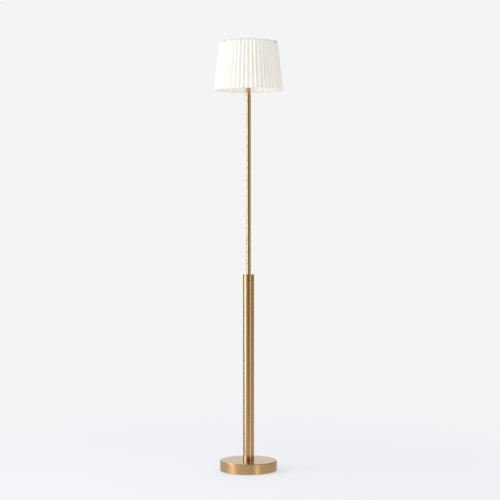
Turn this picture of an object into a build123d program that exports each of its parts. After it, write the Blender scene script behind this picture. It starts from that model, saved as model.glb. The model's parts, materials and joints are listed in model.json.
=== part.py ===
from build123d import *

import math
import os

# Straight column floor lamp: a weighted round foot, a thick lower column, a thin
# upper pole and a pleated drum shade carried on a harp over a switched lampholder.
#
# Millimetres. The origin is the middle of the foot on the floor, +Z is up and the
# front of the lamp faces -Y. Threads are plain cylinders. Every function below makes
# one sub-part in place, and NODES at the end gives each one its node name.

# ---- driving dimensions ----------------------------------------------------------
SHADE_TOP = 1531.0
SHADE_HEIGHT = 174.0
SHADE_TOP_D = 206.0
SHADE_BOTTOM_D = 249.0
PLEATS = 48
PLEAT_DEPTH_SHARE = 0.055  # pleat depth as a share of the crest radius, so every facet is flat
SHADE_TURN = 5.25  # degrees by which the shade sits turned to the right of the front

BASE_D = 204.0
BASE_TOP = 37.0
COLUMN_D = 40.0
COLUMN_TOP = 702.5
COLUMN_CAP_HEIGHT = 20.5
POLE_D = 16.0
POLE_TOP = 1367.0

# ---- shared sizes ------------------------------------------------------------------
FIT = 0.05  # radial clearance of a screwed or pressed joint
SLIDE = 0.10  # radial clearance of a piece that slides or turns
NIPPLE_R = 4.9
NIPPLE_BORE = 3.5
THREADED_HOLE = NIPPLE_R + FIT
UPRIGHT = (Align.CENTER, Align.CENTER, Align.MIN)

# foot
PAD_R = 97.0
PAD_THICK = 2.0
SHELL_FOOT = 1.5
SHELL_WALL = 1.5
SHELL_EDGE = 2.0
WEIGHT_R = BASE_D / 2 - SHELL_WALL - 0.4
WEIGHT_THICK = 18.0
WEIGHT_BOSS_R = 32.0
RECESS_R = 25.0
RECESS_TOP = 16.0
FOOT_HOLE = NIPPLE_R + 0.4
INLET_Z = 9.5
INLET_BORE = 3.2
INLET_NECK = 5.0
INLET_FLANGE = 6.4
CHANNEL_WIDTH = 14.5

# column and pole
COLUMN_WALL = 1.5
COLUMN_FOOT_HEIGHT = 20.0
SEAM = 0.5
POLE_WALL = 1.3
CAP_TOP = COLUMN_TOP
CAP_SEAM = COLUMN_TOP - COLUMN_CAP_HEIGHT
CAP_FLOOR_LOW = CAP_SEAM - 14.0
POLE_FOOT = CAP_SEAM - 2.0
SET_SCREW_R = 2.0
SET_SCREW_Z = CAP_SEAM + 10.0

# lampholder and switch
SADDLE_THICK = 2.0
SADDLE_REACH = 22.0
SADDLE_WIDTH = 14.0
SADDLE_NUT_HEIGHT = 3.0
SADDLE_TOP = POLE_TOP + SADDLE_THICK
NUT_TOP = SADDLE_TOP + SADDLE_NUT_HEIGHT
HOLDER_R = 17.6
HOLDER_SHELL_R = 16.5
HOLDER_SHELL_LOW = NUT_TOP + 17.0
HOLDER_SHELL_TOP = NUT_TOP + 61.0
LINER_R = 15.6
BODY_R = 14.7
BODY_LOW = NUT_TOP + 19.0
BODY_TOP = NUT_TOP + 39.0
SWITCH_Z = NUT_TOP + 30.0
SHAFT_R = 2.0
CAM_HALF = 2.5
POCKET_HALF = 5.5
KNOB_R = 4.75
KNOB_NEAR = 19.5
KNOB_FAR = 32.0
KNOB_FLUTES = 14
TERMINAL_FLAT = 11.5
TERMINAL_Z = BODY_LOW + 8.0

# screw thread of the bulb, drawn as rings
PITCH = 3.63
THREAD_SWELL = 0.45
THREAD_SHELL_R = 12.95
THREAD_BULB_R = 12.65
THREAD_SHELL_START = BODY_TOP + 2.2
THREAD_BULB_START = THREAD_SHELL_START + PITCH
THREAD_SHELL_TURNS = 4
THREAD_BULB_TURNS = 4

# bulb
BULB_TIP = BODY_TOP + 2.6
BULB_CAP_LOW = THREAD_BULB_START - 0.2
BULB_CAP_TOP = THREAD_BULB_START + THREAD_BULB_TURNS * PITCH + 4.7
BULB_COLLAR_TOP = BULB_CAP_TOP + 22.0
BULB_COLLAR_R = 19.8
GLOBE_R = 22.5
GLOBE_CENTRE = BULB_COLLAR_TOP + 11.5

# harp and finial
WIRE_R = 1.6
POST_TOP = SADDLE_TOP + 14.0
SLEEVE_LENGTH = 16.0
SLEEVE_R = 3.2
SLEEVE_LOW = POST_TOP - SLEEVE_LENGTH / 2
HARP_WIDE = 50.0
HARP_TOP = 1508.0
PAD_DISC_R = 7.0
SEAT_TOP = 1512.6
STUD_R = 3.1
STUD_TOP = 1524.0

# shade carrier
HUB_LOW = SEAT_TOP + SLIDE
HUB_THICK = 2.0
HUB_R = 15.0
HUB_TOP = HUB_LOW + HUB_THICK
ARM_R = 1.5
ARM_END_Z = SHADE_TOP - 6.0
RING_R = 1.5
SHADE_BOTTOM = SHADE_TOP - SHADE_HEIGHT
SHEET_INSET = 0.9
ARM_ANGLES = [SHADE_TURN - 30.0 + 120.0 * k for k in range(3)]  # from +X; the middle gap faces front


# ---- helpers -----------------------------------------------------------------------
def rod(radius, low, high):
    """Upright cylinder on the lamp's axis."""
    return Pos(0, 0, low) * Cylinder(radius, high - low, align=UPRIGHT)


def tube(radius, bore, low, high):
    """Upright tube on the lamp's axis."""
    return rod(radius, low, high) - rod(bore, low, high)


def turned(*outline):
    """Solid turned about the lamp's axis from the (radius, z) corners of its half section."""
    corners = [(radius, 0, z) for radius, z in outline]
    return revolve(make_face(Polyline(*corners, close=True)), Axis.Z)


def hex_nut(across_flats, bore, low, high):
    """Hexagon nut on the lamp's axis."""
    blank = extrude(RegularPolygon(across_flats / 2, 6, major_radius=False), high - low)
    return Pos(0, 0, low) * blank - rod(bore, low, high)


def to_rear(shape, y, z):
    """Turns a shape standing on the origin so that it points to the rear, and moves it to y and z."""
    return Pos(0, y, z) * Rot(-90, 0, 0) * shape


def to_front(shape, y, z):
    """Turns a shape standing on the origin so that it points to the front, and moves it to y and z."""
    return Pos(0, y, z) * Rot(90, 0, 0) * shape


def crest_radius(z):
    """Outer radius of the shade's pleat crests at height z."""
    share = (z - SHADE_BOTTOM) / SHADE_HEIGHT
    return (SHADE_BOTTOM_D + (SHADE_TOP_D - SHADE_BOTTOM_D) * share) / 2


def fold_radius(z):
    """Radius that just clears the shade's inner folds at height z."""
    return crest_radius(z) * (1 - PLEAT_DEPTH_SHARE) - SHEET_INSET


def ring_wave(mean, start, turns):
    """Half-section line of a rolled thread: alternate outward and inward arcs, rising from start."""
    arcs = []
    for half in range(2 * turns):
        low = start + half * PITCH / 2
        swell = THREAD_SWELL if half % 2 == 0 else -THREAD_SWELL
        arcs.append(
            ThreePointArc(
                (mean, 0, low), (mean + swell, 0, low + PITCH / 4), (mean, 0, low + PITCH / 2)
            )
        )
    return arcs


def rolled_sleeve(mean, wall, start, turns, low, high, lip):
    """Thin sleeve with a rolled thread from start, plain below and above it, opening by lip at the top."""
    end = start + turns * PITCH
    inner = [Line((mean, 0, low), (mean, 0, start)), *ring_wave(mean, start, turns)]
    outer = [Line((mean + wall, 0, low), (mean + wall, 0, start))]
    outer += ring_wave(mean + wall, start, turns)
    rim = Polyline(
        (mean, 0, end), (mean + lip, 0, end + 0.6), (mean + lip, 0, high),
        (mean + lip + wall, 0, high), (mean + lip + wall, 0, end + 0.6), (mean + wall, 0, end),
    )
    foot = Line((mean, 0, low), (mean + wall, 0, low))
    section = make_face(Curve() + [*inner, *outer, rim, foot])
    return revolve(section, Axis.Z)


# ---- foot --------------------------------------------------------------------------
def base_pad():
    """Felt disc under the foot."""
    return rod(PAD_R, 0, PAD_THICK)


def base_shell():
    """Spun cover of the foot: flat top, upright side, small outer edge radius."""
    outer = rod(BASE_D / 2, SHELL_FOOT, BASE_TOP)
    outer = fillet(outer.edges().group_by(Axis.Z)[-1], SHELL_EDGE)
    inside = rod(BASE_D / 2 - SHELL_WALL, SHELL_FOOT, BASE_TOP - SHELL_WALL)
    inside = fillet(inside.edges().group_by(Axis.Z)[-1], SHELL_EDGE - SHELL_WALL)
    stem_hole = rod(FOOT_HOLE, SHELL_FOOT, BASE_TOP)
    inlet = to_rear(Cylinder(INLET_NECK + FIT, 20, align=UPRIGHT), BASE_D / 2 - 10, INLET_Z)
    return outer - inside - stem_hole - inlet


def base_weight():
    """Cast weight: a disc with a boss up to the cover, a nut recess and a lead channel below."""
    disc = rod(WEIGHT_R, PAD_THICK, PAD_THICK + WEIGHT_THICK)
    boss = rod(WEIGHT_BOSS_R, PAD_THICK, BASE_TOP - SHELL_WALL)
    recess = rod(RECESS_R, PAD_THICK, RECESS_TOP)
    channel = Pos(0, WEIGHT_R / 2, PAD_THICK) * Box(
        CHANNEL_WIDTH, WEIGHT_R, RECESS_TOP + 0.5 - PAD_THICK, align=UPRIGHT
    )
    return disc + boss - recess - channel - rod(FOOT_HOLE, PAD_THICK, BASE_TOP)


def base_flat_washer():
    return tube(16.0, FOOT_HOLE, RECESS_TOP - 2.0, RECESS_TOP)


def base_lock_washer():
    """Split spring washer under the flat one."""
    ring = tube(9.0, FOOT_HOLE, RECESS_TOP - 3.4, RECESS_TOP - 2.0)
    split = Pos(7.2, 0, RECESS_TOP - 2.7) * Rot(0, 35, 0) * Box(6, 1.2, 8)
    return ring - split


def base_nut():
    return hex_nut(17.0, THREADED_HOLE, RECESS_TOP - 9.4, RECESS_TOP - 3.4)


def base_nipple():
    """Threaded tube that pulls the column down on the foot."""
    return tube(NIPPLE_R, NIPPLE_BORE, RECESS_TOP - 11.0, BASE_TOP + COLUMN_FOOT_HEIGHT - 2)


def inlet_bush():
    """Snap-in bush for the mains lead, low in the rear of the foot."""
    wall_out = BASE_D / 2 + 0.25
    wall_in = BASE_D / 2 - SHELL_WALL - 0.25
    neck = Pos(0, 0, wall_in) * Cylinder(INLET_NECK, wall_out - wall_in, align=UPRIGHT)
    outer = Pos(0, 0, wall_out) * Cylinder(INLET_FLANGE, 2.0, align=UPRIGHT)
    outer = fillet(outer.edges().group_by(Axis.Z)[-1], 1.2)
    inner = Pos(0, 0, wall_in - 3.0) * Cylinder(INLET_FLANGE, 3.0, align=UPRIGHT)
    bore = Pos(0, 0, wall_in - 4.0) * Cylinder(INLET_BORE, 12, align=UPRIGHT)
    return to_rear(neck + outer + inner - bore, 0, INLET_Z)


# ---- column and pole ---------------------------------------------------------------
def column_tube():
    tube_r = COLUMN_D / 2
    bore = tube_r - COLUMN_WALL
    return turned(
        (bore, BASE_TOP), (tube_r - SEAM / 2, BASE_TOP), (tube_r, BASE_TOP + SEAM / 2),
        (tube_r, CAP_SEAM - SEAM), (tube_r - SEAM, CAP_SEAM), (bore, CAP_SEAM),
    )


def column_foot():
    """Plug in the column's lower end that the nipple screws into."""
    return tube(
        COLUMN_D / 2 - COLUMN_WALL - FIT, THREADED_HOLE, BASE_TOP, BASE_TOP + COLUMN_FOOT_HEIGHT
    )


def column_cap():
    """Turned collar that closes the column and holds the pole in a blind seat."""
    skirt = COLUMN_D / 2
    spigot = skirt - COLUMN_WALL - FIT
    seat = POLE_D / 2 + SLIDE
    body = turned(
        (THREADED_HOLE, CAP_FLOOR_LOW), (spigot - 1, CAP_FLOOR_LOW), (spigot, CAP_FLOOR_LOW + 1),
        (spigot, CAP_SEAM), (skirt - SEAM, CAP_SEAM), (skirt, CAP_SEAM + SEAM),
        (skirt, CAP_TOP - 0.8), (skirt - 0.8, CAP_TOP), (seat + 0.5, CAP_TOP),
        (seat, CAP_TOP - 0.5), (seat, POLE_FOOT), (THREADED_HOLE, POLE_FOOT),
    )
    screw_hole = to_rear(Cylinder(SET_SCREW_R + FIT, 20, align=UPRIGHT), seat - 2, SET_SCREW_Z)
    return body - screw_hole


def pole_set_screw():
    """Socket-head grub screw in the rear of the collar that locks the pole."""
    near = POLE_D / 2 + FIT
    length = COLUMN_D / 2 - 0.6 - near
    screw = Cylinder(SET_SCREW_R, length, align=UPRIGHT)
    key = Pos(0, 0, length - 2.0) * extrude(RegularPolygon(1.0, 6, major_radius=False), 2.0)
    return to_rear(screw - key, near, SET_SCREW_Z)


def pole_nipple():
    """Threaded tube that joins the collar and the pole."""
    return tube(NIPPLE_R, NIPPLE_BORE, CAP_FLOOR_LOW - 4, POLE_FOOT + 16)


def pole_tube():
    return tube(POLE_D / 2, POLE_D / 2 - POLE_WALL, POLE_FOOT, POLE_TOP - 4)


def pole_foot_plug():
    return tube(POLE_D / 2 - POLE_WALL - FIT, THREADED_HOLE, POLE_FOOT, POLE_FOOT + 20)


def pole_top_plug():
    """Plug that closes the pole and carries the lampholder's nipple."""
    plug = POLE_D / 2 - POLE_WALL - FIT
    flange = POLE_D / 2
    return turned(
        (THREADED_HOLE, POLE_TOP - 22), (plug, POLE_TOP - 22), (plug, POLE_TOP - 4),
        (flange, POLE_TOP - 4), (flange, POLE_TOP - 0.5), (flange - 0.5, POLE_TOP),
        (THREADED_HOLE, POLE_TOP),
    )


def holder_nipple():
    return tube(NIPPLE_R, NIPPLE_BORE, POLE_TOP - 18, NUT_TOP + 9)


# ---- lampholder --------------------------------------------------------------------
def harp_saddle():
    """Flat strip clamped under the lampholder, with an upright post at each end."""
    strip = Pos(0, 0, POLE_TOP) * extrude(
        SlotCenterToCenter(2 * SADDLE_REACH, SADDLE_WIDTH), SADDLE_THICK
    )
    strip -= rod(FOOT_HOLE, POLE_TOP, SADDLE_TOP)
    for side in (-1, 1):
        post = Cylinder(WIRE_R, POST_TOP - SADDLE_TOP, align=UPRIGHT)
        strip += Pos(side * SADDLE_REACH, 0, SADDLE_TOP) * post
    return strip


def saddle_nut():
    return hex_nut(14.0, THREADED_HOLE, SADDLE_TOP, NUT_TOP)


def holder_cap():
    """Bell-shaped lower cap of the lampholder, screwed on the nipple."""
    neck = 8.0
    cap = turned(
        (THREADED_HOLE, NUT_TOP), (neck - 0.5, NUT_TOP), (neck, NUT_TOP + 0.5),
        (neck, NUT_TOP + 7), (HOLDER_R, NUT_TOP + 15.5), (HOLDER_R, NUT_TOP + 22),
        (HOLDER_R - 1, NUT_TOP + 22), (HOLDER_R - 1, NUT_TOP + 16.3), (neck - 1, NUT_TOP + 9),
        (THREADED_HOLE, NUT_TOP + 9),
    )
    screw_hole = to_rear(Cylinder(1.5 + FIT, 12, align=UPRIGHT), 3, NUT_TOP + 3.6)
    return cap - screw_hole


def holder_set_screw():
    """Slotted screw that locks the cap on its nipple."""
    shank = Cylinder(1.5, 3.4, align=UPRIGHT)
    head = Pos(0, 0, 3.4) * Cylinder(2.4, 1.6, align=UPRIGHT)
    slot = Pos(0, 0, 4.3) * Box(6, 0.6, 0.7, align=UPRIGHT)
    return to_rear(shank + head - slot, NIPPLE_R + 0.1, NUT_TOP + 3.6)


def shaft_slot(half_width, reach):
    """Round-topped slot, open below, that lets the switch shaft out to the front."""
    drop = SWITCH_Z - HOLDER_SHELL_LOW + 1
    leg = Pos(0, -reach / 2, SWITCH_Z - drop) * Box(2 * half_width, reach, drop, align=UPRIGHT)
    return leg + to_front(Cylinder(half_width, reach, align=UPRIGHT), 0, SWITCH_Z)


def holder_shell():
    """Drawn brass sleeve with a rolled rim."""
    sleeve = tube(HOLDER_SHELL_R, HOLDER_SHELL_R - 0.7, HOLDER_SHELL_LOW, HOLDER_SHELL_TOP)
    rim = Pos(0, 0, HOLDER_SHELL_TOP - 0.8) * Torus(HOLDER_SHELL_R - 0.1, 0.8)
    return sleeve + rim - shaft_slot(4.0, 25)


def holder_liner():
    """Fibre sleeve that insulates the shell."""
    liner = tube(LINER_R, LINER_R - 0.7, HOLDER_SHELL_LOW + 1, HOLDER_SHELL_TOP - 2)
    return liner - shaft_slot(4.0, 25)


def holder_body():
    """Moulded insulator with the switch pocket, shaft hole and terminal flats."""
    body = rod(BODY_R, BODY_LOW, BODY_TOP)
    pocket = Pos(0, 0, SWITCH_Z) * Box(2 * POCKET_HALF, 2 * POCKET_HALF, 2 * POCKET_HALF)
    hole = to_front(Cylinder(SHAFT_R + SLIDE, 20, align=UPRIGHT), 0, SWITCH_Z)
    body = body - pocket - hole
    for side in (-1, 1):
        flat = Pos(side * (TERMINAL_FLAT + 5), 0, BODY_LOW) * Box(10, 40, 14, align=UPRIGHT)
        screw_hole = Pos(side * TERMINAL_FLAT, 0, TERMINAL_Z) * Rot(0, 90, 0) * Cylinder(
            1.5 + FIT, 9
        )
        body = body - flat - screw_hole
    return body


def terminal_screws():
    """Two binding-head screws, one on each flat of the insulator."""
    screws = []
    for side in (-1, 1):
        shank = Cylinder(1.5, 4.4, align=UPRIGHT)
        head = Pos(0, 0, 4.4) * Cylinder(2.8, 2.0, align=UPRIGHT)
        slot = Pos(0, 0, 5.6) * Box(6, 0.7, 0.8, align=UPRIGHT)
        turned_out = Rot(0, side * 90, 0) * (shank + head - slot)
        screws.append(Pos(side * (TERMINAL_FLAT - 4.4), 0, TERMINAL_Z) * turned_out)
    return Compound(screws)


def holder_screw_shell():
    """Rolled metal sleeve that the bulb screws into."""
    sleeve = rolled_sleeve(
        THREAD_SHELL_R, 0.5, THREAD_SHELL_START, THREAD_SHELL_TURNS,
        BODY_TOP, HOLDER_SHELL_TOP - 3, 0.7,
    )
    floor = tube(THREAD_SHELL_R, 8.0, BODY_TOP, BODY_TOP + 0.5)
    return sleeve + floor


def centre_contact():
    """Spring tongue under the bulb's tip."""
    tongue = Polyline(
        (-6.5, 0, BODY_TOP + 0.01), (2.5, 0, BODY_TOP + 0.01), (5.5, 0, BODY_TOP + 1.0),
        (-2.0, 0, BODY_TOP + 2.4), (-2.0, 0, BODY_TOP + 1.9), (3.0, 0, BODY_TOP + 0.9),
        (2.2, 0, BODY_TOP + 0.5), (-6.5, 0, BODY_TOP + 0.5), close=True,
    )
    return extrude(make_face(tongue), 2.0, both=True)


# ---- switch ------------------------------------------------------------------------
def switch_shaft():
    """Turning shaft, from the cam pocket out to the knob."""
    return to_front(Cylinder(SHAFT_R, KNOB_FAR - 3, align=UPRIGHT), 0, SWITCH_Z)


def switch_cam():
    """Square cam on the shaft's inner end."""
    cam = Rectangle(2 * CAM_HALF, 2 * CAM_HALF)
    cam = fillet(cam.vertices(), 0.8) - Circle(SHAFT_R + FIT / 2)
    return to_front(extrude(cam, 4.5), -0.2, SWITCH_Z)


def switch_blade():
    """Spring contact beside the cam."""
    blade = Pos(4.7, 0, SWITCH_Z) * Box(0.5, 6, 9)
    foot = Pos(4.2, 0, SWITCH_Z - 4.75) * Box(1.5, 6, 0.5)
    return blade + foot


def switch_knob():
    """Fluted turn knob."""
    length = KNOB_FAR - KNOB_NEAR
    knob = Cylinder(KNOB_R, length, align=UPRIGHT)
    knob = chamfer(knob.edges().group_by(Axis.Z)[-1], 0.8)
    for k in range(KNOB_FLUTES):
        angle = 360 / KNOB_FLUTES * k
        knob -= Rot(0, 0, angle) * Pos(KNOB_R + 0.35, 0, 3) * Cylinder(0.8, length, align=UPRIGHT)
    knob -= Cylinder(SHAFT_R + FIT / 2, length - 2.5, align=UPRIGHT)
    return to_front(knob, -KNOB_NEAR, SWITCH_Z)


# ---- bulb --------------------------------------------------------------------------
def bulb_cap():
    """Rolled metal screw cap."""
    return rolled_sleeve(
        THREAD_BULB_R - 0.4, 0.4, THREAD_BULB_START, THREAD_BULB_TURNS,
        BULB_CAP_LOW, BULB_CAP_TOP, 0.2,
    )


def bulb_insulator():
    """Black ring between the screw cap and the tip."""
    return turned(
        (3.2, BULB_TIP + 1.2), (5.5, BULB_TIP + 1.2), (11.0, BULB_CAP_LOW),
        (11.0, BULB_CAP_LOW + 1.5), (3.2, BULB_CAP_LOW + 1.5),
    )


def bulb_contact():
    """Solder tip."""
    tip = turned((0, BULB_TIP), (2.6, BULB_TIP), (4.6, BULB_TIP + 1.15), (0, BULB_TIP + 1.15))
    return tip + rod(3.1, BULB_TIP + 1.15, BULB_CAP_LOW + 1.5)


def bulb_collar():
    """Tapered plastic housing of the driver."""
    neck = THREAD_BULB_R - 1.2
    low = BULB_CAP_TOP - 5.0
    return turned(
        (neck - 1.5, low), (neck, low), (neck, BULB_CAP_TOP), (THREAD_BULB_R + 1.2, BULB_CAP_TOP),
        (BULB_COLLAR_R, BULB_COLLAR_TOP - 2), (BULB_COLLAR_R, BULB_COLLAR_TOP),
        (BULB_COLLAR_R - 2.6, BULB_COLLAR_TOP), (BULB_COLLAR_R - 2.6, BULB_COLLAR_TOP - 1.6),
        (neck - 1.5, BULB_CAP_TOP + 3),
    )


def bulb_led_board():
    """Round board with a ring of light sources, under the globe."""
    low = BULB_COLLAR_TOP - 1.5
    board = rod(BULB_COLLAR_R - 2.8, low, low + 1.2)
    for k in range(8):
        chip = Box(3.0, 3.0, 0.8, align=UPRIGHT)
        board += Rot(0, 0, 45 * k) * Pos(11, 0, low + 1.2) * chip
    return board


def bulb_globe():
    """Frosted globe, hollow and open below."""
    low = BULB_COLLAR_TOP + 0.02
    ball = Pos(0, 0, GLOBE_CENTRE) * (Sphere(GLOBE_R) - Sphere(GLOBE_R - 1.2))
    below = Pos(0, 0, GLOBE_CENTRE - 2 * GLOBE_R) * Cylinder(
        2 * GLOBE_R, low - GLOBE_CENTRE + 2 * GLOBE_R, align=UPRIGHT
    )
    return ball - below


# ---- harp --------------------------------------------------------------------------
def harp_wire():
    """Bowed wire from post to post, with a round pad at the top for the stud."""
    side = [
        (SADDLE_REACH, POST_TOP + 0.05), (SADDLE_REACH, POST_TOP + 31.0), (HARP_WIDE, POST_TOP + 61.0),
        (HARP_WIDE, HARP_TOP - 26.0), (28.0, HARP_TOP),
    ]
    bends = [18.0, 30.0, 30.0, 20.0 - 1]
    right = [(x, 0, z) for x, z in side]
    left = [(-x, 0, z) for x, z in reversed(side)]
    route = FilletPolyline(*right, *left, radius=bends[:4] + bends[3::-1])
    wire = sweep(Plane(route @ 0, z_dir=route % 0) * Circle(WIRE_R), route)
    pad = rod(PAD_DISC_R, HARP_TOP - WIRE_R, HARP_TOP + WIRE_R)
    return wire + pad - rod(2.5 + FIT, HARP_TOP - 5, HARP_TOP + 5)


def harp_stud():
    """Riveted stud at the harp's top: rivet head, shank, seat collar and thread."""
    low = HARP_TOP - WIRE_R
    high = HARP_TOP + WIRE_R
    return turned(
        (0, low - 1.5), (3.5, low - 1.5), (4.5, low - 0.5), (4.5, low), (2.5, low), (2.5, high),
        (8.0, high), (8.0, SEAT_TOP), (STUD_R, SEAT_TOP), (STUD_R, STUD_TOP - 0.6),
        (STUD_R - 0.6, STUD_TOP), (0, STUD_TOP),
    )


def harp_sleeve(side):
    """Sleeve that drops over the joint of one post and harp leg."""
    sleeve = Cylinder(SLEEVE_R, SLEEVE_LENGTH, align=UPRIGHT)
    sleeve = fillet(sleeve.edges().filter_by(GeomType.CIRCLE), 0.5)
    sleeve -= Cylinder(WIRE_R + SLIDE, SLEEVE_LENGTH, align=UPRIGHT)
    return Pos(side * SADDLE_REACH, 0, SLEEVE_LOW) * sleeve


def finial():
    """Small turned knob that screws down on the shade's hub."""
    seat = HUB_TOP + SLIDE
    blank = turned(
        (0, seat), (7.0, seat), (7.0, seat + 1.6), (5.0, seat + 2.6), (5.0, seat + 4.6),
        (7.4, seat + 6.0), (7.8, seat + 6.8), (7.8, seat + 12.6), (7.0, seat + 14.2),
        (5.0, seat + 15.2), (0, seat + 15.6),
    )
    return blank - rod(STUD_R + FIT, seat, STUD_TOP + 1)


# ---- shade -------------------------------------------------------------------------
def spider_hub():
    """Flat washer of the shade carrier, loose on the stud."""
    return tube(HUB_R, STUD_R + 0.4, HUB_LOW, HUB_TOP)


def spider_arms():
    """Three wire arms brazed on the hub, with threaded ends through the pleat crests."""
    inner_z = HUB_TOP + ARM_R
    tip = crest_radius(ARM_END_Z) + 2.6
    route = FilletPolyline(
        (9.5, 0, inner_z), (20.0, 0, inner_z), (86.0, 0, ARM_END_Z), (tip, 0, ARM_END_Z), radius=25.0
    )
    arm = sweep(Plane(route @ 0, z_dir=route % 0) * Circle(ARM_R), route)
    return Compound([Rot(0, 0, angle) * arm for angle in ARM_ANGLES])


def shade_nuts(inside):
    """Nuts on the three arm ends: plain ones inside the folds, domed ones outside the crests."""
    crest = crest_radius(ARM_END_Z)
    nuts = []
    for angle in ARM_ANGLES:
        if inside:
            nut = extrude(RegularPolygon(2.5, 6, major_radius=False), 2.0)
            start = crest - 6.0
        else:
            nut = Cylinder(3.3, 3.6, align=UPRIGHT)
            nut = fillet(nut.edges().group_by(Axis.Z)[-1], 2.2)
            start = crest + 0.45
        nut -= Cylinder(ARM_R + FIT, 2.8, align=UPRIGHT)
        nuts.append(Rot(0, 0, angle) * Pos(start, 0, ARM_END_Z) * Rot(0, 90, 0) * nut)
    return Compound(nuts)


def shade_ring(z):
    """Wire ring that keeps the pleats round, just inside their inner folds."""
    return Pos(0, 0, z) * Torus(fold_radius(z) - RING_R - 0.3, RING_R)


def pleat_outline(crest, z):
    """Closed zigzag round the axis, crests at the given radius, with a crest at each arm."""
    corners = []
    for k in range(2 * PLEATS):
        radius = crest if k % 2 == 0 else crest * (1 - PLEAT_DEPTH_SHARE)
        angle = math.radians(ARM_ANGLES[0] + 180.0 / PLEATS * k)
        corners.append((radius * math.cos(angle), radius * math.sin(angle), z))
    return make_face(Polyline(*corners, close=True))


def shade_pleats():
    """Pleated sheet of the shade, open above and below."""
    skins = []
    for inset in (0.0, SHEET_INSET):
        low = pleat_outline(SHADE_BOTTOM_D / 2 - inset, SHADE_BOTTOM)
        high = pleat_outline(SHADE_TOP_D / 2 - inset, SHADE_TOP)
        skins.append(loft([low, high], ruled=True))
    sheet = skins[0] - skins[1]
    for angle in ARM_ANGLES:
        hole = Rot(0, 0, angle) * Pos(fold_radius(ARM_END_Z), 0, ARM_END_Z) * Rot(0, 90, 0)
        sheet -= hole * Cylinder(ARM_R + SLIDE, 20, align=UPRIGHT)
    return sheet


NODES = {
    "base_pad": base_pad(),
    "base_shell": base_shell(),
    "base_weight": base_weight(),
    "base_flat_washer": base_flat_washer(),
    "base_lock_washer": base_lock_washer(),
    "base_nut": base_nut(),
    "base_nipple": base_nipple(),
    "inlet_bush": inlet_bush(),
    "column_tube": column_tube(),
    "column_foot": column_foot(),
    "column_cap": column_cap(),
    "pole_set_screw": pole_set_screw(),
    "pole_nipple": pole_nipple(),
    "pole_tube": pole_tube(),
    "pole_foot_plug": pole_foot_plug(),
    "pole_top_plug": pole_top_plug(),
    "holder_nipple": holder_nipple(),
    "harp_saddle": harp_saddle(),
    "saddle_nut": saddle_nut(),
    "holder_cap": holder_cap(),
    "holder_set_screw": holder_set_screw(),
    "holder_shell": holder_shell(),
    "holder_liner": holder_liner(),
    "holder_body": holder_body(),
    "terminal_screws": terminal_screws(),
    "holder_screw_shell": holder_screw_shell(),
    "centre_contact": centre_contact(),
    "switch_shaft": switch_shaft(),
    "switch_cam": switch_cam(),
    "switch_blade": switch_blade(),
    "switch_knob": switch_knob(),
    "bulb_cap": bulb_cap(),
    "bulb_insulator": bulb_insulator(),
    "bulb_contact": bulb_contact(),
    "bulb_collar": bulb_collar(),
    "bulb_led_board": bulb_led_board(),
    "bulb_globe": bulb_globe(),
    "harp_wire": harp_wire(),
    "harp_stud": harp_stud(),
    "harp_sleeve_left": harp_sleeve(-1),
    "harp_sleeve_right": harp_sleeve(1),
    "finial": finial(),
    "spider_hub": spider_hub(),
    "spider_arms": spider_arms(),
    "shade_inner_nuts": shade_nuts(inside=True),
    "shade_cap_nuts": shade_nuts(inside=False),
    "shade_top_ring": shade_ring(ARM_END_Z - ARM_R - RING_R - 0.05),
    "shade_bottom_ring": shade_ring(SHADE_BOTTOM + 5.0),
    "shade_pleats": shade_pleats(),
}

os.makedirs("parts", exist_ok=True)
for name, shape in NODES.items():
    export_step(shape, f"parts/{name}.step")
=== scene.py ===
import json
import math
import random

import bmesh
import bpy
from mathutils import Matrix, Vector


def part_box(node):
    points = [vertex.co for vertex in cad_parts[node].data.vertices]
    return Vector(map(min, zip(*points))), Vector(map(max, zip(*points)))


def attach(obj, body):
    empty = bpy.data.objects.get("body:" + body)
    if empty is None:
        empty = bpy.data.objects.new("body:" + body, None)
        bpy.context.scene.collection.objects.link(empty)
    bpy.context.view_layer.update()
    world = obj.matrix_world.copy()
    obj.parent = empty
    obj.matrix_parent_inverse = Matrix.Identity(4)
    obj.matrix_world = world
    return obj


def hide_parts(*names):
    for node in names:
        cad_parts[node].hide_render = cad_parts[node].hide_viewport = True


# The looks of a straight column floor lamp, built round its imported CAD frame. Metres.
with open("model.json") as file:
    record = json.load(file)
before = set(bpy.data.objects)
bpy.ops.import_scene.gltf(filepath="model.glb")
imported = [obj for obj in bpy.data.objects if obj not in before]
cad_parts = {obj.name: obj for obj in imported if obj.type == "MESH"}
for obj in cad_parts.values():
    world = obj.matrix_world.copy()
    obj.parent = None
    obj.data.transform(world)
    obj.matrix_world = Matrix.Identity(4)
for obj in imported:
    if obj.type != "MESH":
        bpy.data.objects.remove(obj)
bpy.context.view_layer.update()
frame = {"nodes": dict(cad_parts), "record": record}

# ---- driving values ----------------------------------------------------------------
# pleated sheet of the shade
PLEATS = 48
PLEAT_DEPTH_SHARE = 0.055  # of the radius
SHADE_TURN = math.radians(5.25)
FIRST_CREST = SHADE_TURN - math.radians(30)
CREST_BESIDE_X = math.radians(2.25)  # turn from the X axis to the nearest crest
TOP_SHARE = 206.0 / 249.0  # top diameter of the shade over its bottom diameter
SHEET_THICK = 0.0004
ROWS = 26  # rows of faces from the bottom rim to the top rim
FOLD_ROUND = 0.10  # share of a pleat's half width that its fold is rounded over
FACE_STEPS = (0.0, 0.05, 0.12, 0.30, 0.50, 0.70, 0.88, 0.95)  # the points across half a pleat
FOLD_SHIFT = 0.06  # how far a fold may stand off the even division, in half pleats
FOLD_LEAN = 0.008  # how far a fold wanders on its way up, in half pleats
LEAN_PHASE = 6  # largest phase of a fold's lean, in radians
SHALLOWEST = 0.93  # depth of the shallowest fold, as a share of the full depth
CREST_DROP = 0.6  # share of a fold's missing depth by which the crest beside it is lower
SEED = 7

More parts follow.
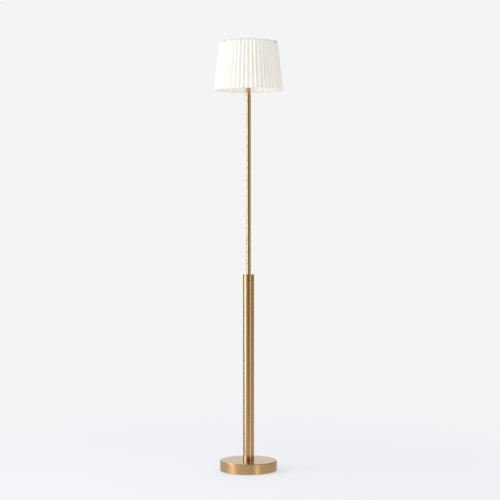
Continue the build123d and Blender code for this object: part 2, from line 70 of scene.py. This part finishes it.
# camera
CAMERA_DISTANCE = 5.27
CAMERA_HEIGHT = 0.905
CAMERA_RIGHT = 0.0053
CAMERA_PITCH = math.radians(1.257)
FOCAL_IN_WIDTHS = 2.9517  # focal length over the picture's width
SENSOR_WIDTH = 36  # millimetres

# floor and surround
BACKDROP = (0.905, 0.905, 0.905)
FLOOR = (0.885, 0.893, 0.922)
FLOOR_REACH = 60  # metres from the lamp to the floor's edge
FLOOR_FADE = (0.9, 2.6)  # metres from the lamp over which the floor turns into the backdrop
SHADOW_FADE = (0.15, 1.4)  # metres from the lamp over which shadows fade out
FLOOR_LIGHT = 1.17  # light that reaches the open floor, against its own glow
SHADOW_SHARE = 0.42  # share of the floor's light that a shadow can take away

# Levels round the horizon, each after its share of a turn. The turn starts straight behind the lamp and goes
# by its left side and its front. Metal reflects MIRRORED, and LIGHTING lights the cloth and the floor.
MIRRORED = [
    (0.00, 0.90), (0.06, 0.34), (0.14, 0.40), (0.26, 0.56), (0.36, 0.60), (0.44, 0.36), (0.50, 0.06),
    (0.56, 0.20), (0.62, 0.42), (0.70, 0.42), (0.85, 0.32), (0.94, 0.28), (1.00, 0.90),
]
LIGHTING = [(0.00, 1.60), (0.15, 1.12), (0.32, 0.68), (0.50, 0.53), (0.75, 0.70), (0.87, 1.08), (1.00, 1.60)]
MIRRORED_FLOOR = 1.15
MIRRORED_HORIZON = (-0.05, -0.40)  # heights of the mirrored direction over which the floor takes over
WARMTH = (1.0, 1.08, 1.2)  # powers of a level in red, green and blue: dark levels are warmer

# metal finishes
BRASS = (0.60, 0.39, 0.18)
STEEL = (0.60, 0.60, 0.61)
AGED = (0.92, 0.88, 0.82)  # tint of the slow patches of tone
POLISH_SPREAD = 0.015  # how far the roughness varies
LACQUER_ROUGHNESS = 0.12
BRUSHED_LINES = (2600.0, 2600.0, 3.0)  # scale of the lines across and along the tube
TURNED_RINGS = 1900.0  # scale of the rings
NOISE_REACH = (0.35, 0.75)  # values of slow noise between which one tone turns into the other

# cloth
WARP_PHASE = 1400.0  # radians of the weave's wave for each radian round the shade
WEFT_PHASE = 9000.0  # radians of the weave's wave for each metre up
SLUBS = (260.0, 260.0, 1500.0)  # scale of the thick places across and along
SHARE_THROUGH = 0.42  # how much of the light the cloth lets through

# Lights: name, azimuth in degrees from the camera's side and positive to the right, distance from the lamp's
# axis, height, the light's own width and height, power in watts. Metal mirrors the first ones, and the others
# light matt surfaces.
MIRRORED_LIGHTS = [
    ("streak_high", -86, 2.6, 1.7, 0.85, 1.8, 36),
    ("streak_middle", -69, 2.6, 0.42, 1.0, 0.76, 12),
    ("streak_low", -66, 2.6, -0.13, 0.9, 0.34, 2.35),
    ("streak_right", 38, 3.2, 1.35, 0.7, 2.7, 6.5),
    ("streak_right_low", 34, 3.2, -0.19, 0.7, 0.38, 0.76),
    ("streak_base_right", 34, 3.2, -0.65, 0.75, 0.30, 1.75),
    ("streak_base_front", -4, 2.6, -0.59, 1.7, 0.30, 1.0),
]
MATT_LIGHTS = [
    ("key_left", -66, 2.6, 1.35, 1.3, 2.2, 50),
    ("fill_front", 0, 4.0, 0.75, 1.6, 0.8, 58),
]


# ---- helpers -----------------------------------------------------------------------
def node(tree, kind, inputs=None, **settings):
    """A new node with its settings, and with each input linked or given its value."""
    made = tree.nodes.new(kind)
    for key, value in settings.items():
        setattr(made, key, value)
    for key, value in (inputs or {}).items():
        if isinstance(value, bpy.types.NodeSocket):
            tree.links.new(value, made.inputs[key])
        else:
            made.inputs[key].default_value = value
    return made


def colour(rgb):
    """Red, green and blue with full opacity."""
    return (*rgb, 1.0)


def maths(tree, operation, a, b=0.0):
    """The result of one operation on a and b."""
    return node(tree, "ShaderNodeMath", {0: a, 1: b}, operation=operation).outputs[0]


def ranged(tree, value, low, high, start=0.0, end=1.0):
    """value, taken from start..end to low..high."""
    made = node(
        tree,
        "ShaderNodeMapRange",
        {"Value": value, "From Min": start, "From Max": end, "To Min": low, "To Max": high},
    )
    return made.outputs["Result"]


def blended(tree, factor, first, second):
    """A mix of two colours."""
    made = node(tree, "ShaderNodeMix", {0: factor, 6: first, 7: second}, data_type="RGBA")
    return made.outputs[2]


def noise(tree, vector, scale=1.0, detail=2.0, roughness=0.5):
    """Noise from 0 to 1 at the coordinates in vector."""
    made = node(
        tree,
        "ShaderNodeTexNoise",
        {"Vector": vector, "Scale": scale, "Detail": detail, "Roughness": roughness},
    )
    return made.outputs["Fac"]


def place(tree):
    """The place on the object, in metres."""
    return node(tree, "ShaderNodeTexCoord").outputs["Object"]


def stretched(tree, scale):
    """The place on the object with each axis scaled."""
    made = node(tree, "ShaderNodeVectorMath", {0: place(tree), 1: scale}, operation="MULTIPLY")
    return made.outputs[0]


def straight_grain(tree):
    """Coordinates of fine lines that run up and down."""
    return stretched(tree, BRUSHED_LINES)


def turned_grain(tree):
    """Coordinates of fine rings about the lamp's axis."""
    split = node(tree, "ShaderNodeSeparateXYZ", {0: place(tree)})
    x, y, z = split.outputs
    x_squared = maths(tree, "MULTIPLY", x, x)
    y_squared = maths(tree, "MULTIPLY", y, y)
    radius = maths(tree, "SQRT", maths(tree, "ADD", x_squared, y_squared))
    outward = maths(tree, "MULTIPLY", radius, TURNED_RINGS)
    upward = maths(tree, "MULTIPLY", z, TURNED_RINGS)
    return node(tree, "ShaderNodeCombineXYZ", {0: outward, 1: upward}).outputs[0]


def even_grain(tree, scale=900.0):
    """Coordinates of a texture with no direction."""
    return stretched(tree, (scale, scale, scale))


def new_material(name):
    """A material, its node tree and its surface shader."""
    material = bpy.data.materials.new(name)
    material.use_nodes = True
    return material, material.node_tree, material.node_tree.nodes["Principled BSDF"]


def join(tree, output, node_to, socket):
    """Links an output to an input."""
    tree.links.new(output, node_to.inputs[socket])


def raised(tree, surface, height, strength, distance):
    """Gives a surface shader a bump relief, and returns the relief's normal."""
    bump = node(tree, "ShaderNodeBump", {"Strength": strength, "Distance": distance, "Height": height})
    join(tree, bump.outputs[0], surface, "Normal")
    return bump.outputs[0]


def placed(name, data):
    """A new object in the scene."""
    made = bpy.data.objects.new(name, data)
    bpy.context.scene.collection.objects.link(made)
    return made


# ---- materials ---------------------------------------------------------------------
def metal(name, tint, roughness, grain, contrast=0.08, relief=0.015, lacquer=0.0):
    """Metal with a fine grain, slow changes of tone, slightly uneven polish and a share of clear lacquer."""
    material, tree, surface = new_material(name)
    fine = noise(tree, grain(tree))
    slow = noise(tree, place(tree), scale=6.0, detail=1.0)
    dark = tuple(c * (1 - contrast) for c in tint)
    toned = blended(tree, fine, colour(dark), colour(tint))
    aged = tuple(c * f for c, f in zip(tint, AGED, strict=True))
    toned = blended(tree, ranged(tree, slow, 0.0, 0.55, *NOISE_REACH), toned, colour(aged))
    join(tree, toned, surface, "Base Color")
    fine_polish = ranged(tree, fine, roughness - POLISH_SPREAD, roughness + POLISH_SPREAD)
    slow_polish = ranged(tree, slow, -POLISH_SPREAD, POLISH_SPREAD)
    join(tree, maths(tree, "ADD", fine_polish, slow_polish), surface, "Roughness")
    raised(tree, surface, fine, relief, 0.0002)
    surface.inputs["Metallic"].default_value = 1.0
    surface.inputs["Coat Weight"].default_value = lacquer
    surface.inputs["Coat Roughness"].default_value = LACQUER_ROUGHNESS
    return material


def moulded(name, tint, roughness, relief=0.08, coat=0.0):
    """Moulded plastic or paint with a fine orange-peel grain."""
    material, tree, surface = new_material(name)
    fine = noise(tree, even_grain(tree), detail=3.0)
    slow = noise(tree, place(tree), scale=25.0, detail=2.0)
    darker = tuple(c * 0.86 for c in tint)
    join(tree, blended(tree, slow, colour(darker), colour(tint)), surface, "Base Color")
    join(tree, ranged(tree, fine, roughness - 0.06, roughness + 0.06), surface, "Roughness")
    raised(tree, surface, fine, relief, 0.0003)
    surface.inputs["Coat Weight"].default_value = coat
    return material


def fibrous(name, tint, light, relief=0.5):
    """Felt or fibre board: short tangled fibres with no shine."""
    material, tree, surface = new_material(name)
    tangle = noise(tree, even_grain(tree, 1400.0), detail=6.0, roughness=0.75)
    patches = noise(tree, place(tree), scale=60.0, detail=4.0)
    tone = maths(tree, "MULTIPLY", tangle, ranged(tree, patches, 0.7, 1.2))
    join(tree, blended(tree, tone, colour(tint), colour(light)), surface, "Base Color")
    raised(tree, surface, tangle, relief, 0.0005)
    surface.inputs["Roughness"].default_value = 0.95
    surface.inputs["Sheen Weight"].default_value = 0.25
    return material


def frosted(name):
    """Milky diffuser of the bulb."""
    material, tree, surface = new_material(name)
    haze = noise(tree, even_grain(tree, 500.0), detail=3.0)
    milk = blended(tree, haze, colour((0.86, 0.85, 0.82)), colour((0.93, 0.92, 0.90)))
    join(tree, milk, surface, "Base Color")
    join(tree, ranged(tree, haze, 0.38, 0.50), surface, "Roughness")
    surface.inputs["Subsurface Weight"].default_value = 0.3
    surface.inputs["Subsurface Radius"].default_value = (0.004, 0.004, 0.003)
    return material


def pleated_cloth(name):
    """Stiffened plain weave that lets some light through."""
    material, tree, surface = new_material(name)
    spot = place(tree)
    split = node(tree, "ShaderNodeSeparateXYZ", {0: spot})
    x, y, z = split.outputs
    turn = maths(tree, "ARCTAN2", y, x)
    warp = maths(tree, "SINE", maths(tree, "MULTIPLY", turn, WARP_PHASE))
    weft = maths(tree, "SINE", maths(tree, "MULTIPLY", z, WEFT_PHASE))
    weave = ranged(tree, maths(tree, "MULTIPLY", warp, weft), 0.0, 1.0, -1.0, 1.0)
    slubs = noise(tree, stretched(tree, SLUBS), detail=3.0, roughness=0.6)
    slow = noise(tree, spot, scale=14.0, detail=2.0)
    threads = maths(tree, "ADD", maths(tree, "MULTIPLY", weave, 0.5), maths(tree, "MULTIPLY", slubs, 0.5))
    plain = blended(tree, threads, colour((0.87, 0.859, 0.82)), colour((0.93, 0.924, 0.89)))
    toned = blended(tree, ranged(tree, slow, 0.0, 0.5, *NOISE_REACH), plain, colour((0.91, 0.90, 0.86)))
    join(tree, toned, surface, "Base Color")
    surface.inputs["Roughness"].default_value = 0.85
    surface.inputs["Sheen Weight"].default_value = 0.12
    surface.inputs["Specular IOR Level"].default_value = 0.25
    relief = raised(tree, surface, threads, 0.25, 0.00012)
    through = node(tree, "ShaderNodeBsdfTranslucent", {"Color": toned, "Normal": relief})
    both = node(tree, "ShaderNodeMixShader", {0: SHARE_THROUGH, 1: surface.outputs[0], 2: through.outputs[0]})
    join(tree, both.outputs[0], tree.nodes["Material Output"], "Surface")
    return material


# one material for each slot of the record
MATERIALS = {
    "felt": fibrous("felt_pad", (0.02, 0.02, 0.022), (0.10, 0.10, 0.10)),
    "base_brass": metal("spun_brass", BRASS, 0.31, turned_grain, lacquer=0.5),
    "cast_weight": metal("cast_iron", (0.10, 0.10, 0.105), 0.62, even_grain, contrast=0.4, relief=0.5),
    "steel": metal("zinc_plated_steel", STEEL, 0.34, even_grain, relief=0.1),
    "inlet_plastic": moulded("black_bush", (0.018, 0.018, 0.02), 0.45),
    "column_brass": metal("brushed_brass", BRASS, 0.23, straight_grain, relief=0.003, lacquer=0.8),
    "collar_brass": metal("turned_brass", BRASS, 0.20, turned_grain, relief=0.005, lacquer=0.8),
    "plug_brass": metal("machined_brass", (0.68, 0.50, 0.28), 0.24, turned_grain),
    "holder_brass": metal("drawn_brass", (0.70, 0.50, 0.27), 0.18, turned_grain, contrast=0.06),
    "liner_board": fibrous("vulcanised_fibre", (0.13, 0.085, 0.055), (0.22, 0.15, 0.10), relief=0.2),
    "holder_phenolic": moulded("black_phenolic", (0.02, 0.017, 0.015), 0.35),
    "contact_brass": metal("stamped_brass", (0.74, 0.55, 0.30), 0.25, even_grain),
    "knob_plastic": moulded("black_knob", (0.015, 0.015, 0.016), 0.28, coat=0.3),
    "bulb_metal": metal("rolled_aluminium", (0.74, 0.74, 0.75), 0.26, turned_grain),
    "bulb_black": moulded("bulb_ring", (0.012, 0.012, 0.014), 0.2, coat=0.4),
    "bulb_tip": metal("solder", (0.60, 0.60, 0.61), 0.36, even_grain, relief=0.3),
    "bulb_housing": moulded("bulb_housing", (0.80, 0.80, 0.78), 0.42),
    "bulb_board": moulded("light_board", (0.82, 0.82, 0.79), 0.5),
    "bulb_diffuser": frosted("frosted_diffuser"),
    "harp_brass": metal("plated_wire", (0.62, 0.44, 0.24), 0.25, straight_grain),
    "carrier_white": moulded("white_powder_coat", (0.80, 0.79, 0.75), 0.42, relief=0.2),
    "carrier_fastener": metal("nickel_plate", (0.82, 0.81, 0.79), 0.42, even_grain),
    "pleated_fabric": pleated_cloth("pleated_cloth"),
}


def dress_cad_parts():
    """Gives every CAD part the material of its slot in the record."""
    for part in frame["record"]["subparts"]:
        shown = frame["nodes"][part["node"]]
        shown.data.materials.clear()
        shown.data.materials.append(MATERIALS[part["material_slot"]])


# ---- pleated shade -----------------------------------------------------------------
def pleat_wave(t):
    """Share of the pleat's depth at t: 0 on a crest, 1 in the fold half a pleat on, with rounded turns."""
    t = abs((t + 0.5) % 1.0 - 0.5) * 2
    if t < FOLD_ROUND:
        rise = t * t / (2 * FOLD_ROUND)
    elif t > 1 - FOLD_ROUND:
        rise = 1 - FOLD_ROUND - (1 - t) * (1 - t) / (2 * FOLD_ROUND)
    else:
        rise = t - FOLD_ROUND / 2
    return rise / (1 - FOLD_ROUND)


def pleated_shade():
    """Pleated sheet of the shade: sharp radiating folds, each a little off the even division."""
    low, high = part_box("shade_pleats")
    bottom_radius = (high.x - low.x) / 2 / math.cos(CREST_BESIDE_X)
    top_radius = bottom_radius * TOP_SHARE
    draw = random.Random(SEED)
    shifts = [draw.uniform(-FOLD_SHIFT, FOLD_SHIFT) for _ in range(2 * PLEATS)]
    depths = [draw.uniform(SHALLOWEST, 1.0) for _ in range(2 * PLEATS)]
    waves = [draw.uniform(-1, 1) for _ in range(2 * PLEATS)]
    mesh = bmesh.new()
    rows = []
    for row in range(ROWS + 1):
        rise = row / ROWS
        z = low.z + (high.z - low.z) * rise
        crest = bottom_radius + (top_radius - bottom_radius) * rise
        ring = []
        for half in range(2 * PLEATS):
            after = (half + 1) % (2 * PLEATS)
            lean = FOLD_LEAN * math.sin(math.pi * rise + LEAN_PHASE * waves[half])
            lean_after = FOLD_LEAN * math.sin(math.pi * rise + LEAN_PHASE * waves[after])
            for step in FACE_STEPS:
                shift = shifts[half] + lean + (shifts[after] + lean_after - shifts[half] - lean) * step
                share = pleat_wave((half + step) / 2)
                depth = depths[half] + (depths[after] - depths[half]) * step
                inward = share * depth + (1 - share) * (1 - depth) * CREST_DROP
                radius = crest * (1 - PLEAT_DEPTH_SHARE * inward)
                angle = FIRST_CREST + math.pi / PLEATS * (half + step + shift)
                ring.append(mesh.verts.new((radius * math.cos(angle), radius * math.sin(angle), z)))
        rows.append(ring)
    for lower, upper in zip(rows, rows[1:], strict=False):
        for k in range(len(lower)):
            after = (k + 1) % len(lower)
            mesh.faces.new((lower[k], lower[after], upper[after], upper[k]))
    for face in mesh.faces:
        face.smooth = True
    data = bpy.data.meshes.new("pleated_sheet")
    mesh.to_mesh(data)
    mesh.free()
    sheet = placed("pleated_sheet", data)
    thick = sheet.modifiers.new("thickness", "SOLIDIFY")
    thick.thickness = SHEET_THICK
    thick.offset = -1.0
    data.materials.append(MATERIALS["pleated_fabric"])
    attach(sheet, "shade")
    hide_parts("shade_pleats")


# ---- stage, light and camera -------------------------------------------------------
def studio_floor():
    """Plain pale floor with a faint soft shadow near the lamp, like the backdrop further off."""
    data = bpy.data.meshes.new("floor")
    corners = [(x * FLOOR_REACH, y * FLOOR_REACH, 0) for x, y in ((-1, -1), (1, -1), (1, 1), (-1, 1))]
    data.from_pydata(corners, [], [(0, 1, 2, 3)])
    floor = placed("floor", data)
    material, tree, surface = new_material("pale_floor")
    spot = place(tree)
    away = node(tree, "ShaderNodeVectorMath", {0: spot}, operation="LENGTH").outputs["Value"]
    mottle = noise(tree, spot, scale=3.0, detail=2.0)
    tone = blended(tree, mottle, colour([c * 0.995 for c in FLOOR]), colour(FLOOR))
    tone = blended(tree, ranged(tree, away, 0.0, 1.0, *FLOOR_FADE), tone, colour(BACKDROP))
    lit = blended(tree, 1.0 / FLOOR_LIGHT, (0, 0, 0, 1), tone)
    diffuse = node(tree, "ShaderNodeBsdfDiffuse", {"Color": lit})
    glow = node(tree, "ShaderNodeEmission", {"Color": tone, "Strength": 1.0})
    share = ranged(tree, away, 1.0 - SHADOW_SHARE, 1.0, *SHADOW_FADE)
    both = node(tree, "ShaderNodeMixShader", {0: share, 1: diffuse.outputs[0], 2: glow.outputs[0]})
    join(tree, both.outputs[0], tree.nodes["Material Output"], "Surface")
    tree.nodes.remove(surface)
    data.materials.append(material)
    floor.visible_glossy = False
    floor.visible_shadow = False


def around(tree, turn_share, stops):
    """Levels round the horizon, the dark ones warmer. Each stop is a share of a turn and a level."""
    ramp = node(tree, "ShaderNodeValToRGB", {"Fac": turn_share})
    while len(ramp.color_ramp.elements) < len(stops):
        ramp.color_ramp.elements.new(0.5)
    for element, (at, level) in zip(ramp.color_ramp.elements, stops, strict=True):
        element.position = at
        element.color = colour([level**power for power in WARMTH])
    return ramp.outputs[0]


def studio_world():
    """Pale surround. What metal mirrors is dark beyond the camera and brighter behind and to the left."""
    world = bpy.data.worlds.new("studio")
    world.use_nodes = True
    bpy.context.scene.world = world
    tree = world.node_tree
    way = node(tree, "ShaderNodeTexCoord").outputs["Generated"]
    split = node(tree, "ShaderNodeSeparateXYZ", {0: way})
    x, y, z = split.outputs
    turn = maths(tree, "ARCTAN2", x, maths(tree, "MULTIPLY", y, -1.0))
    turn_share = ranged(tree, turn, 0.0, 1.0, -math.pi, math.pi)
    mirrored = around(tree, turn_share, MIRRORED)
    below = ranged(tree, z, 0.0, 1.0, *MIRRORED_HORIZON)
    mirrored = blended(tree, below, mirrored, colour((MIRRORED_FLOOR,) * 3))
    lighting = around(tree, turn_share, LIGHTING)
    path = node(tree, "ShaderNodeLightPath")
    light = blended(tree, path.outputs["Is Glossy Ray"], lighting, mirrored)
    mixed = blended(tree, path.outputs["Is Camera Ray"], light, colour(BACKDROP))
    join(tree, mixed, tree.nodes["Background"], "Color")


def softbox(name, azimuth, distance, height, width, tall, power, mirrored):
    """Level area light facing the lamp's axis. Metal mirrors it, or else it lights matt surfaces."""
    angle = math.radians(azimuth)
    light = bpy.data.lights.new(name, "AREA")
    light.shape = "RECTANGLE"
    light.size = width
    light.size_y = tall
    light.energy = power
    box = placed(name, light)
    box.location = (distance * math.sin(angle), -distance * math.cos(angle), height)
    inward = Vector((-box.location.x, -box.location.y, 0))
    box.rotation_euler = inward.to_track_quat("-Z", "Y").to_euler()
    box.visible_camera = False
    box.visible_glossy = mirrored
    box.visible_diffuse = not mirrored


def studio_lights():
    for light in MIRRORED_LIGHTS:
        softbox(*light, mirrored=True)
    for light in MATT_LIGHTS:
        softbox(*light, mirrored=False)


def camera():
    """Camera in front of the lamp, pitched slightly down."""
    data = bpy.data.cameras.new("camera")
    data.sensor_width = SENSOR_WIDTH
    data.lens = SENSOR_WIDTH * FOCAL_IN_WIDTHS
    eye = placed("camera", data)
    eye.location = (CAMERA_RIGHT, -CAMERA_DISTANCE, CAMERA_HEIGHT)
    eye.rotation_euler = (math.pi / 2 - CAMERA_PITCH, 0, 0)
    bpy.context.scene.camera = eye


camera()
studio_world()
studio_floor()
studio_lights()
dress_cad_parts()
pleated_shade()

bpy.context.scene.view_settings.view_transform = "Standard"
